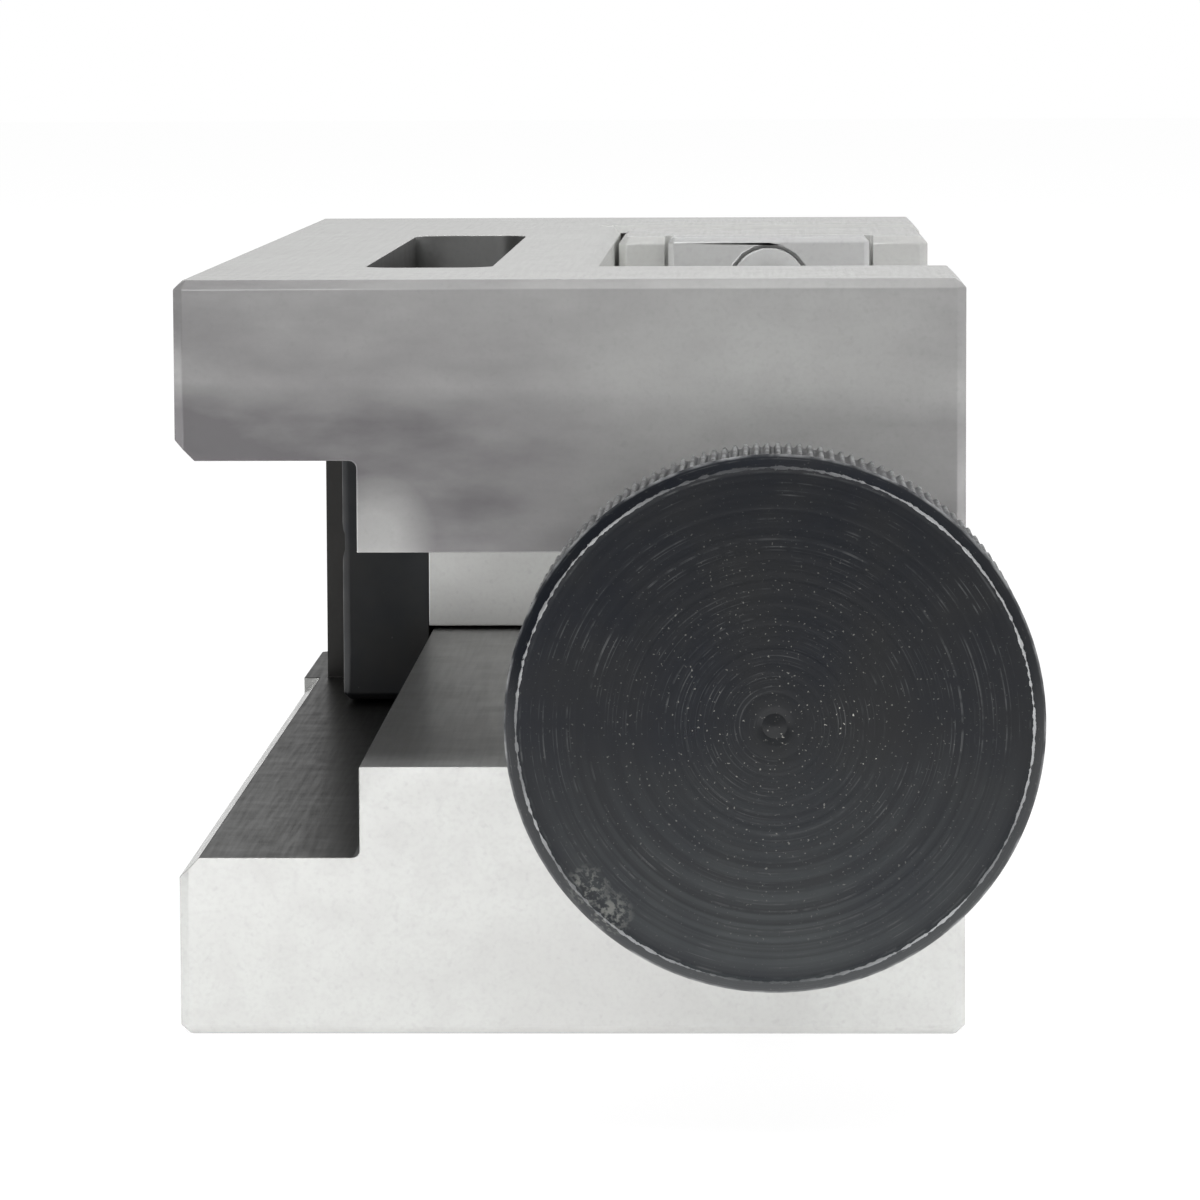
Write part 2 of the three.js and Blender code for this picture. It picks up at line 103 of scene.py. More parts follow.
def soften(piece, width, angle=28):
    """Break the edges by a small rounded bevel. Large faces are shaded flat, so that they stay true."""
    apply_modifier(piece, "BEVEL", width=width * MM, segments=3, limit_method="ANGLE",
                   angle_limit=math.radians(angle), use_clamp_overlap=False)
    take(piece)
    bpy.ops.object.shade_smooth_by_angle(angle=math.radians(angle + 10))
    for face in piece.data.polygons:
        if face.area > LARGE_FACE:
            face.use_smooth = False


# %% [markdown]
# ## Ground blocks: break the edges of the CAD solids
# The body, the jaw, the keeper and the retainer are milled and ground blocks, whose shapes the CAD has
# already. A ground edge is never razor sharp, so each block becomes a copy of its CAD mesh. Its loose
# triangles are merged, the flat faces are joined up again, and a bevel breaks the edges by up to a tenth
# of a millimetre. That thin strip catches the light as it does on the real block.

# %% Copy a CAD block and break its edges
def ground_block(node, name, width):
    piece = frame["nodes"][node].copy()
    piece.data = piece.data.copy()
    piece.parent = None
    piece.name = name
    bpy.context.scene.collection.objects.link(piece)
    take(piece)
    bpy.ops.object.mode_set(mode="EDIT")
    bpy.ops.mesh.select_all(action="SELECT")
    bpy.ops.mesh.remove_doubles(threshold=0.002 * MM)
    bpy.ops.mesh.dissolve_limited(angle_limit=math.radians(0.5))
    bpy.ops.object.mode_set(mode="OBJECT")
    soften(piece, width)
    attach(piece, frame["nodes"][node]["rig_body"])
    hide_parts(node)
    print(name, "has", len(piece.data.polygons), "faces")
    return piece


body_block = ground_block("body", "ground_body", 0.06)
jaw_block = ground_block("moving_jaw", "sliding_jaw", 0.1)
keeper_block = ground_block("keeper_plate", "keeper_bar", 0.1)
retainer_top = ground_block("retainer_upper", "retainer_half_upper", 0.1)
retainer_bottom = ground_block("retainer_lower", "retainer_half_lower", 0.1)
nut_sleeve = ground_block("screw_nut", "bronze_nut", 0.1)
pad_disc = ground_block("thrust_pad", "hard_pad", 0.08)

# %% [markdown]
# ## Turned pieces: a disc that grows from station to station
# The screw, the knob and the socket screws come from a lathe. A spun profile would do, but here the work
# goes as on the machine: a round disc is extruded along the axis and scaled to the radius at each
# station. Each shoulder and chamfer is then one line in a table.

# %% Turn a piece along Y
def turned(name, stations, sides, axis=(SCREW_X, SCREW_Z)):
    """Stations are pairs of radius and place along Y, in mm, in the order they are cut."""
    radius, here = stations[0]
    deselect()
    bpy.ops.mesh.primitive_circle_add(vertices=sides, radius=radius * MM, fill_type="NGON",
                                      location=(axis[0] * MM, here * MM, axis[1] * MM),
                                      rotation=(math.pi / 2, 0, 0))
    piece = set_down(bpy.context.object)
    piece.name = name
    bpy.ops.object.mode_set(mode="EDIT")
    bpy.ops.mesh.select_all(action="SELECT")
    for wide, place in stations[1:]:
        bpy.ops.mesh.extrude_region_move(TRANSFORM_OT_translate={"value": (0, (place - here) * MM, 0)})
        ratio = wide / radius
        bpy.ops.transform.resize(value=(ratio, 1, ratio),
                                 center_override=(axis[0] * MM, place * MM, axis[1] * MM))
        radius, here = wide, place
    bpy.ops.mesh.select_all(action="SELECT")
    bpy.ops.mesh.normals_make_consistent(inside=False)
    bpy.ops.object.mode_set(mode="OBJECT")
    return piece


# %% Rods, and tools that cut or join
def rod(name, radius, start, end, sides=32):
    """A plain rod between two places in mm, to cut or join with."""
    start, end = Vector(start) * MM, Vector(end) * MM
    turn = (end - start).to_track_quat("Z", "Y").to_euler()
    deselect()
    bpy.ops.mesh.primitive_cylinder_add(vertices=sides, radius=radius * MM, depth=(end - start).length,
                                        location=(start + end) / 2, rotation=turn)
    piece = set_down(bpy.context.object)
    piece.name = name
    return piece


def combine(piece, tool, operation):
    """Cut with a tool piece, join it on or keep only what both share; the tool is used up."""
    apply_modifier(piece, "BOOLEAN", object=tool, operation=operation, solver="EXACT")
    bpy.data.objects.remove(tool)


# %% [markdown]
# ## The lead screw
# It runs from a journal inside the knob, through the nut, to a neck and a nose held in the jaw. Its
# M12 thread was cut by a pointed tool with sides at 60 degrees, and a circle with three vertices is just
# that tool. The Screw modifier carries it round the axis, one pitch forward for each turn, and a boolean
# takes the groove out of the blank.

# %% Turn the screw's blank
THREAD_START, THREAD_END, THREAD_RADIUS, PITCH = -123.7, -25.3, 6.0, 1.75
PIN_Y = -128.0
PIN_DRILL = ((10, PIN_Y, SCREW_Z), (42, PIN_Y, SCREW_Z))
lead_screw = turned("threaded_screw", [
    (3.9, -140.2), (4.5, -139.6), (4.5, THREAD_START), (5.0, THREAD_START),
    (THREAD_RADIUS, THREAD_START + 1.0), (THREAD_RADIUS, THREAD_END - 1.0), (5.0, THREAD_END),
    (4.0, THREAD_END), (4.0, -19.7), (5.4, -19.7), (6.0, -19.1), (6.0, -15.3), (5.4, -14.7),
], 64)
combine(lead_screw, rod("pin_drill", 1.7, *PIN_DRILL), "DIFFERENCE")
print("screw blank:", len(lead_screw.data.polygons), "faces")

# %% Cut the thread with a three-sided tool
TOOL_SIDE = 0.9 * PITCH
TOOL_CLEARANCE = 0.04
tool_radius = TOOL_SIDE / math.sqrt(3)
turns = math.ceil((THREAD_END - THREAD_START) / PITCH) + 1
deselect()
bpy.ops.mesh.primitive_circle_add(vertices=3, radius=tool_radius * MM, fill_type="NGON")
thread_tool = bpy.context.object
bpy.ops.object.mode_set(mode="EDIT")
bpy.ops.mesh.select_all(action="SELECT")
# The first corner of the circle points along Y, and a quarter turn points it at the axis. With no window
# a turn can go the other way round, so the tool is turned once more if it points away.
bpy.ops.transform.rotate(value=math.pi / 2, orient_axis="Z", center_override=(0, 0, 0))
corners = [Vector(v.co) for v in bmesh.from_edit_mesh(thread_tool.data).verts]
if max(corners, key=lambda c: abs(c.x)).x > 0:
    bpy.ops.transform.rotate(value=math.pi, orient_axis="Z", center_override=(0, 0, 0))
bpy.ops.transform.translate(value=((THREAD_RADIUS + TOOL_CLEARANCE - tool_radius / 2) * MM, 0, 0))
bpy.ops.object.mode_set(mode="OBJECT")
apply_modifier(thread_tool, "SCREW", axis="Y", angle=math.tau, screw_offset=PITCH * MM,
               iterations=turns, steps=40, render_steps=40, use_merge_vertices=False)
take(thread_tool)
bpy.ops.object.mode_set(mode="EDIT")
bpy.ops.mesh.select_all(action="SELECT")
bpy.ops.mesh.fill_holes(sides=3)
bpy.ops.mesh.normals_make_consistent(inside=False)
bpy.ops.object.mode_set(mode="OBJECT")
thread_tool.location = (SCREW_X * MM, (THREAD_START - PITCH) * MM, SCREW_Z * MM)
set_down(thread_tool)
combine(lead_screw, thread_tool, "DIFFERENCE")
take(lead_screw)
bpy.ops.object.shade_smooth_by_angle(angle=math.radians(24))
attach(lead_screw, "screw")
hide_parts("lead_screw")
print("lead screw:", len(lead_screw.data.polygons), "faces")

# %% [markdown]
# ## The knurled knob
# The knob is the piece nearest to the viewer. Its edge has 154 straight knurled teeth behind a plain
# front rim. Its face was turned with a pointed tool, which left fine rings and a small pip where the
# tool stopped. The blank has a waist where the knurl goes, and a toothed ring is joined over it. The ring
# is what a toothed rod and a chamfered ring share, so the rear chamfer cuts the teeth off at a slant.
# The face's rings are stations a few thousandths of a millimetre up and down, at uneven steps.

# %% Turn the knob's blank with its face rings and its hub
KNOB_RADIUS, KNOB_FRONT, KNOB_REAR, HUB_END = 16.15, -143.5, -132.0, -124.0
RIM_END, TEETH, KNURL_DEPTH = KNOB_FRONT + 1.0, 154, 0.27
FACE_Y = KNOB_FRONT + 0.03
FIRST_RING, LAST_RING, RING_STEP, RING_HEIGHT = 15.0, 1.2, 0.16, 0.003
rings = []
radius = FIRST_RING
while radius > LAST_RING:
    ring = len(rings)
    wobble = math.sin(7.3 * ring) + math.sin(17.1 * ring)
    rings.append((radius, FACE_Y + RING_HEIGHT * wobble))
    radius -= RING_STEP + 0.06 * math.sin(5.1 * ring)
knob = turned("knurled_knob", [
    (9.0, HUB_END), (10.0, HUB_END - 1.0), (10.0, KNOB_REAR), (14.0, KNOB_REAR),
    (15.5, KNOB_REAR - 1.4), (15.5, RIM_END), (KNOB_RADIUS - 0.04, RIM_END),
    (KNOB_RADIUS, RIM_END - 0.04), (KNOB_RADIUS, KNOB_FRONT + 0.78),
    (KNOB_RADIUS - 0.03, KNOB_FRONT + 0.72),
    (KNOB_RADIUS - 0.72, KNOB_FRONT + 0.03), (KNOB_RADIUS - 0.8, KNOB_FRONT),
    (KNOB_RADIUS - 1.0, FACE_Y), *rings,
    (1.0, FACE_Y + 0.02), (0.75, FACE_Y + 0.10), (0.35, FACE_Y + 0.04), (0.08, FACE_Y - 0.02),
], TEETH * 2)
print("knob blank:", len(knob.data.polygons), "faces,", len(rings), "turning rings")

# %% Cut the teeth on a rod
crest = KNOB_RADIUS - 0.03
knurl = rod("knurl", crest, (SCREW_X, RIM_END - 0.2, SCREW_Z), (SCREW_X, HUB_END + 2, SCREW_Z), TEETH * 4)
take(knurl)
bpy.ops.object.mode_set(mode="EDIT")
axis = Vector((SCREW_X, SCREW_Z))
step = math.tau / (TEETH * 4)


def in_a_gap(place):
    """True for two corners out of four round the rod, which sink to the bottom of a gap."""
    across = Vector((place.x, place.z)) - axis
    return round(math.atan2(across.y, across.x) / step - 0.01) % 4 in (2, 3)


knurl_mesh = bmesh.from_edit_mesh(knurl.data)
for vertex in knurl_mesh.verts:
    vertex.select_set(in_a_gap(vertex.co / MM))
knurl_mesh.select_flush_mode()
bmesh.update_edit_mesh(knurl.data)
flat = (crest - KNURL_DEPTH) / crest
bpy.ops.transform.resize(value=(flat, 1, flat), center_override=(SCREW_X * MM, 0, SCREW_Z * MM))
bpy.ops.object.mode_set(mode="OBJECT")
print("knurled rod:", len(knurl.data.polygons), "faces")

# %% Chamfer the ring, join it to the knob and bore the knob
ring_blank = turned("ring_blank", [
    (14.6, KNOB_REAR - 0.6), (15.15, KNOB_REAR - 0.01), (16.45, KNOB_REAR - 1.3),
    (16.45, RIM_END - 0.2), (14.6, RIM_END - 0.2),
], TEETH * 2)
combine(ring_blank, knurl, "INTERSECT")
combine(knob, ring_blank, "UNION")
hub_bore = rod("hub_bore", 4.8, (SCREW_X, KNOB_FRONT + 3, SCREW_Z), (SCREW_X, HUB_END + 4, SCREW_Z), 64)
combine(knob, hub_bore, "DIFFERENCE")
combine(knob, rod("pin_bore", 1.55, *PIN_DRILL), "DIFFERENCE")
take(knob)
bpy.ops.object.shade_smooth_by_angle(angle=math.radians(22))
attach(knob, "screw")
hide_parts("knob")
print("knob:", len(knob.data.polygons), "faces")

# %% [markdown]
# ## The roll pin
# A roll pin is a strip rolled into a springy tube, so it keeps a slit along its side and rounded ends.
# A strip could be bent round here too, but the cuts are surer: it is a rod with a smaller rod and a thin
# block taken out of it.

# %% Roll pin through the hub
PIN_FROM, PIN_TO, PIN_SLIT = 16.2, 35.4, 0.5
roll_pin = rod("roll_pin", 1.5, (PIN_FROM, PIN_Y, SCREW_Z), (PIN_TO, PIN_Y, SCREW_Z))
combine(roll_pin, rod("pin_core", 1.0, *PIN_DRILL), "DIFFERENCE")
deselect()
bpy.ops.mesh.primitive_cube_add(size=1, location=(SCREW_X * MM, (PIN_Y - 1.5) * MM, SCREW_Z * MM),
                                scale=(24 * MM, 2 * MM, PIN_SLIT * MM))
combine(roll_pin, set_down(bpy.context.object), "DIFFERENCE")
soften(roll_pin, 0.12, 50)
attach(roll_pin, "screw")
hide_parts("knob_pin")
print("roll pin:", len(roll_pin.data.polygons), "faces")

# %% [markdown]
# ## Socket screws
# Seven small screws hold the vise together. Each kind is turned once along Y with its head at zero, gets
# its hexagon socket and its thread rings, and is then copied to its places. The rings stand for a thread
# that is too fine and too hidden to need a true helix.

# %% Turn one screw of each kind
def socket_screw(name, head, shank, length, pitch, socket, depth):
    """Turn a head, a shank with thread rings and a hexagon socket; the head's top lies at zero."""
    stations, place = list(head), head[-1][1] + pitch
    while place < length - pitch * 1.5:
        stations += [(shank, place), (shank - 0.2, place + pitch / 2)]
        place += pitch
    stations += [(shank, length - pitch), (shank - 0.5, length)]
    piece = turned(name, stations, 32, (0, 0))
    hexagon = rod("hexagon", socket, (0, -1, 0), (0, depth, 0), 6)
    combine(piece, hexagon, "DIFFERENCE")
    soften(piece, 0.05, 40)
    return piece


cap_head = [(3.1, 0), (3.5, 0.4), (3.5, 4.0), (2.0, 4.0), (1.8, 4.3)]
flat_head = [(2.9, 0), (3.0, 0.1), (3.0, 0.3), (1.5, 1.8), (1.3, 2.2)]
set_head = [(1.8, 0), (2.0, 0.2)]
cap_screw = socket_screw("cap_screw", cap_head, shank=2.0, length=14, pitch=0.7, socket=1.7, depth=2.2)
flat_screw = socket_screw("flat_screw", flat_head, shank=1.5, length=11, pitch=0.5, socket=1.15, depth=1.6)
set_screw = socket_screw("set_screw", set_head, shank=2.0, length=2.7, pitch=0.5, socket=1.15, depth=1.8)
print("faces of the three kinds:", [len(s.data.polygons) for s in (cap_screw, flat_screw, set_screw)])


# %% Put a copy of a screw in its place
def put_screw(pattern, node, name, place, turn=(0, 0, 0)):
    piece = pattern.copy()
    piece.data = pattern.data.copy()
    piece.name = name
    bpy.context.scene.collection.objects.link(piece)
    piece.rotation_euler = Euler(turn)
    piece.location = Vector(place) * MM
    set_down(piece)
    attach(piece, frame["nodes"][node]["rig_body"])
    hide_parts(node)
    return piece


# %% Seven screws
QUARTER_TURN = math.pi / 2
KEEPER_SCREWS_Y, KEEPER_HEADS_X = (-14.9, -6.1), -8.5
RETAINER_SCREWS_Z, RETAINER_HEADS_Y = (46, 37.5, 12.5, 4), -25
LOCK_SCREW = (37.3, -96, SCREW_Z)
small_screws = []
for i, y in enumerate(KEEPER_SCREWS_Y):
    small_screws.append(put_screw(cap_screw, f"keeper_screw_{i + 1}", f"keeper_cap_screw_{i + 1}",
                                  (KEEPER_HEADS_X, y, SCREW_Z), (0, 0, -QUARTER_TURN)))
for i, z in enumerate(RETAINER_SCREWS_Z):
    small_screws.append(put_screw(flat_screw, f"retainer_screw_{i + 1}", f"retainer_flat_screw_{i + 1}",
                                  (SCREW_X, RETAINER_HEADS_Y, z)))
small_screws.append(put_screw(set_screw, "nut_lock_screw", "nut_set_screw", LOCK_SCREW, (0, 0, QUARTER_TURN)))
for pattern in (cap_screw, flat_screw, set_screw):
    bpy.data.objects.remove(pattern)
print("small screws:", len(small_screws))

# %% [markdown]
# ## Finishes: patterns that stay on their piece
# Metal has no colour of its own apart from what it reflects, so its grain matters more than its tint. A
# picture of steel could be laid on each face, but it would need seams. Here each finish is a small net of
# nodes with noise of several sizes. It starts from Object coordinates, so its pattern stays where it is
# when the piece moves. Each helper adds a node or a few and hands back the output, so that a finish reads
# as a list of steps.

# %% A new finish and its coordinates
def new_finish(name, colour, metallic, roughness):
    finish = bpy.data.materials.new(name)
    finish.use_nodes = True
    shader = finish.node_tree.nodes["Principled BSDF"]
    shader.inputs["Base Color"].default_value = (*colour, 1)
    shader.inputs["Metallic"].default_value = metallic
    shader.inputs["Roughness"].default_value = roughness
    return finish, finish.node_tree, shader


def place_on(tree, centre=(0, 0, 0), scale=(1, 1, 1)):
    """Object coordinates, moved so that the centre is zero, then scaled."""
    where = tree.nodes.new("ShaderNodeTexCoord")
    mapping = tree.nodes.new("ShaderNodeMapping")
    mapping.inputs["Location"].default_value = [-c * MM * s for c, s in zip(centre, scale)]
    mapping.inputs["Scale"].default_value = scale
    tree.links.new(where.outputs["Object"], mapping.inputs["Vector"])
    return mapping.outputs["Vector"]


def parts_of(tree, vector):
    """The X, Y and Z of a vector as three outputs."""
    split = tree.nodes.new("ShaderNodeSeparateXYZ")
    tree.links.new(vector, split.inputs["Vector"])
    return [split.outputs[name] for name in "XYZ"]


# %% Noise, ranges and sums
def noise(tree, place, scale, detail=2.0):
    node = tree.nodes.new("ShaderNodeTexNoise")
    node.inputs["Scale"].default_value = scale
    node.inputs["Detail"].default_value = detail
    tree.links.new(place, node.inputs["Vector"])
    return node.outputs["Fac"]


def ramp(tree, value, low, high, out_low=0.0, out_high=1.0):
    """Turn one range of a value into another, held at both ends."""
    node = tree.nodes.new("ShaderNodeMapRange")
    for name, number in (("From Min", low), ("From Max", high), ("To Min", out_low), ("To Max", out_high)):
        node.inputs[name].default_value = number
    tree.links.new(value, node.inputs["Value"])
    return node.outputs["Result"]


def maths(tree, operation, first, second=0.0):
    node = tree.nodes.new("ShaderNodeMath")
    node.operation = operation
    for socket, value in zip(node.inputs, (first, second)):
        if isinstance(value, (int, float)):
            socket.default_value = value
        else:
            tree.links.new(value, socket)
    return node.outputs["Value"]


def product(tree, *values):
    result = values[0]
    for value in values[1:]:
        result = maths(tree, "MULTIPLY", result, value)
    return result


def near_spot(tree, centre, radius):
    """1 at a place in mm, fading to 0 at the radius."""
    length = tree.nodes.new("ShaderNodeVectorMath")
    length.operation = "LENGTH"
    tree.links.new(place_on(tree, centre), length.inputs[0])
    return ramp(tree, length.outputs["Value"], radius * 0.35 * MM, radius * MM, 1.0, 0.0)


# %% Colours and relief
def mix(tree, share, first, second):
    """Mix two colours, each given as a colour or as a node's output."""
    node = tree.nodes.new("ShaderNodeMix")
    node.data_type = "RGBA"
    tree.links.new(share, node.inputs["Factor"])
    for socket, colour in zip((node.inputs[6], node.inputs[7]), (first, second)):
        if isinstance(colour, tuple):
            socket.default_value = (*colour, 1)
        else:
            tree.links.new(colour, socket)
    return node.outputs[2]


def darker(colour, share):
    return tuple(part * share for part in colour)


def bump(tree, shader, height, strength, distance=0.02):
    """Relief from a pattern, with its distance in mm."""
    node = tree.nodes.new("ShaderNodeBump")
    node.inputs["Strength"].default_value = strength
    node.inputs["Distance"].default_value = distance * MM
    tree.links.new(height, node.inputs["Height"])
    tree.links.new(node.outputs["Normal"], shader.inputs["Normal"])


# %% [markdown]
# ## Painted shade on the end face
# The end face is one ground plane, and yet the photograph shows it grey over the slot and nearly white
# below it. The grey is painted shade: a darker colour that stands for the dark room the upper part
# reflects. The face could be cut in two to take two finishes, but the grey has soft and wavy limits. So it
# is a darker colour, mixed in by its place: none below the slot, full over it, thinner near the flank, more
# to the left, and lighter at the slot's corner and over the screw.

# %% Paint shade over the upper part of the end face
END_Y = -107.0
SHADE_STARTS_Z, SHADE_FULL_Z = 19.0, 31.0
SHADE_THINS_Z, SHADE_THIN_Z, THIN_SHADE_SHARE = 41.0, 43.2, 0.63
SHADE_WAVE = 0.9
REFLECTION_SHADE_COLOUR = (0.275, 0.265, 0.275)
# Spots with less painted shade: the middle, the radius and the share of shade that is left
LIGHTER_SPOTS = (((-0.4, END_Y, 33.2), 4.2, 0.35), ((SCREW_X, END_Y, 36.0), 20, 0.45))


# Paints shade over the upper part of the end face, by height, with a wavy edge
def painted_reflection_shade(tree, place, colour):
    x, y, z = parts_of(tree, place)
    stretched = place_on(tree, scale=(0.4, 1, 1))
    wave = ramp(tree, noise(tree, stretched, 90, 4), 0.3, 0.7, -SHADE_WAVE * MM, SHADE_WAVE * MM)
    height = maths(tree, "ADD", z, wave)
    amount = product(
        tree,
        ramp(tree, height, SHADE_THINS_Z * MM, SHADE_THIN_Z * MM, 1.0, THIN_SHADE_SHARE),
        ramp(tree, height, SHADE_STARTS_Z * MM, SHADE_FULL_Z * MM),
        maths(tree, "LESS_THAN", y, (END_Y + 0.7) * MM),
        ramp(tree, noise(tree, stretched, 330, 5), 0.32, 0.68, 0.75, 1.05),
        *(ramp(tree, near_spot(tree, middle, radius), 0.0, 1.0, 1.0, shade_left)
          for middle, radius, shade_left in LIGHTER_SPOTS),
        ramp(tree, x, -12 * MM, 2 * MM, 1.25, 1.0),
    )
    return mix(tree, amount, colour, REFLECTION_SHADE_COLOUR)


# %% [markdown]
# ## Ground and milled steel
# A grinding wheel leaves long lines, a cloudy mottle and dark specks. As pure metal the faces would show
# little but a dark studio, and real ground faces scatter light as satin does, so a little over half of
# the finish is metal and the rest is plain colour. The milled recesses are rougher and darker, with more
# metal in the mix, and bronze takes the same grain in its own colour.

# %% Mottle, speckle and long grinding lines
def ground_finish(name, bright, dull, roughness, metallic=1.0, depth_shade=1.0, reflection_shade=False):
    """A depth shade under 1 paints shade into the finish, darker towards the inner end of the vise, deep in
    the channel.
    """
    finish, tree, shader = new_finish(name, bright, metallic, roughness)
    place = place_on(tree)
    lines = noise(tree, place_on(tree, scale=(1, 0.03, 1)), 3200, 3)
    clouds = noise(tree, place, 70, 4)
    mottle = noise(tree, place, 420, 3)
    speckle = noise(tree, place, 1700, 2)
    colour = mix(tree, ramp(tree, clouds, 0.36, 0.64, 0, 0.6), bright, dull)
    colour = mix(tree, ramp(tree, mottle, 0.4, 0.7, 0, 0.5), colour, dull)
    colour = mix(tree, ramp(tree, lines, 0.45, 0.75, 0, 0.45), colour, darker(bright, 0.85))
    colour = mix(tree, ramp(tree, speckle, 0.60, 0.72, 0, 0.22), colour, darker(bright, 0.7))
    # Painted shade towards the inner end of the vise
    if depth_shade < 1:
        _, along, _ = parts_of(tree, place)
        colour = mix(tree, ramp(tree, along, END_Y * MM, -30 * MM), colour, darker(dull, depth_shade))
    # Painted shade over the upper part of the end face
    if reflection_shade:
        colour = painted_reflection_shade(tree, place, colour)
    tree.links.new(colour, shader.inputs["Base Color"])
    sheen = product(tree, ramp(tree, mottle, 0.3, 0.7, 0.92, 1.1),
                    ramp(tree, lines, 0.3, 0.7, roughness * 0.9, roughness * 1.15))
    tree.links.new(sheen, shader.inputs["Roughness"])
    bump(tree, shader, lines, 0.05)
    return finish


SATIN = 0.55
ground_steel = ground_finish("ground_steel_finish", (0.88, 0.887, 0.865), (0.80, 0.795, 0.78),
                             roughness=0.20, metallic=SATIN, reflection_shade=True)
milled_steel = ground_finish("milled_slot_finish", (0.42, 0.425, 0.42), (0.34, 0.335, 0.33), roughness=0.36)
# Painted shade: a darker copy of the milled finish for the deep channel, darker still towards its inner end
shaded_channel_steel = ground_finish("milled_channel_painted_shade", (0.27, 0.275, 0.27), (0.20, 0.196, 0.19),
                              roughness=0.34, depth_shade=0.4)
# Painted light: a lighter copy of the milled finish for the guide slot's walls
lit_guide_steel = ground_finish("milled_guide_painted_light", (0.50, 0.505, 0.50), (0.42, 0.415, 0.41),
                            roughness=0.34, metallic=0.7)
hardened_steel = ground_finish("hardened_steel_finish", (0.86, 0.865, 0.86), (0.79, 0.79, 0.79),
                               roughness=0.20, metallic=SATIN)
bronze = ground_finish("bronze_finish", (0.62, 0.44, 0.22), (0.50, 0.34, 0.16), roughness=0.34)
finishes = (ground_steel, milled_steel, shaded_channel_steel, lit_guide_steel, hardened_steel, bronze)
print("ground and milled:", [finish.name for finish in finishes])

# %% [markdown]
# ## Turned steel and black oxide
# A lathe leaves rings, so a turned finish follows the distance from the screw's axis, or the place along
# it. Rings this fine would cost too many faces in the mesh, and a bump shows them as well. Black oxide is
# a thin layer grown in a hot bath. It is nearly black and slightly blotchy, with a soft gloss, and a few
# bright specks show where it has chipped.

# %% Rings round the screw's axis
def round_the_screw(tree):
    """The distance from the screw's axis, and the place along it."""
    x, along, z = parts_of(tree, place_on(tree, (SCREW_X, 0, SCREW_Z)))
    squares = [maths(tree, "MULTIPLY", side, side) for side in (x, z)]
    return maths(tree, "SQRT", maths(tree, "ADD", *squares)), along


def line_noise(tree, value, scale, detail=2.0):
    node = tree.nodes.new("ShaderNodeTexNoise")
    node.noise_dimensions = "1D"
    node.inputs["Scale"].default_value = scale
    node.inputs["Detail"].default_value = detail
    tree.links.new(value, node.inputs["W"])
    return node.outputs["Fac"]


def turned_steel_finish():
    finish, tree, shader = new_finish("turned_steel_finish", (0.50, 0.50, 0.51), 1.0, 0.3)
    place = place_on(tree)
    stains = noise(tree, place, 160, 4)
    colour = mix(tree, ramp(tree, stains, 0.4, 0.7), (0.52, 0.52, 0.53), (0.34, 0.32, 0.30))
    tree.links.new(colour, shader.inputs["Base Color"])
    tree.links.new(ramp(tree, noise(tree, place, 900), 0.3, 0.7, 0.26, 0.4), shader.inputs["Roughness"])
    _, along = round_the_screw(tree)
    bump(tree, shader, line_noise(tree, along, 9000), 0.1)
    return finish


def black_oxide_finish():
    finish, tree, shader = new_finish("black_oxide_finish", (0.03, 0.032, 0.036), 0.0, 0.4)
    place = place_on(tree)
    blotches = noise(tree, place, 220, 4)
    colour = mix(tree, ramp(tree, blotches, 0.35, 0.7), (0.024, 0.027, 0.032), (0.036, 0.036, 0.036))
    specks = ramp(tree, noise(tree, place, 3600, 1), 0.80, 0.84, 0.0, 0.5)
    colour = mix(tree, specks, colour, (0.25, 0.26, 0.26))
    tree.links.new(colour, shader.inputs["Base Color"])
    tree.links.new(ramp(tree, noise(tree, place, 700, 3), 0.3, 0.7, 0.3, 0.45), shader.inputs["Roughness"])
    bump(tree, shader, noise(tree, place, 1800, 2), 0.15)
    return finish


turned_steel = turned_steel_finish()
black_oxide = black_oxide_finish()
print("turned and blackened:", turned_steel.name, "and", black_oxide.name)

# %% [markdown]
# ## The knob's finish
# The knob is what the eye meets first. One even black would look like plastic, so its finish has the most
# layers. Each is a pattern mixed over the last, as a painter glazes: the black, painted light from the floor
# with rings in it, bright arcs, specks and a greasy smear. Last comes bare steel, where hands have rubbed the
# black off the front edge and the knurl's crests; on the crests it also paints the highlight of light
# from above.

# %% Layers of black, painted light from below, arcs, specks and grease
# Spots on the knob's face: X, Z and radius in mm
DINGS = ((29.8, 25.8, 1.3), (29.2, 24.8, 0.8), (31.5, 22.9, 0.9))
SMEARS = ((14.6, 15.3, 1.5), (15.9, 13.7, 1.6))


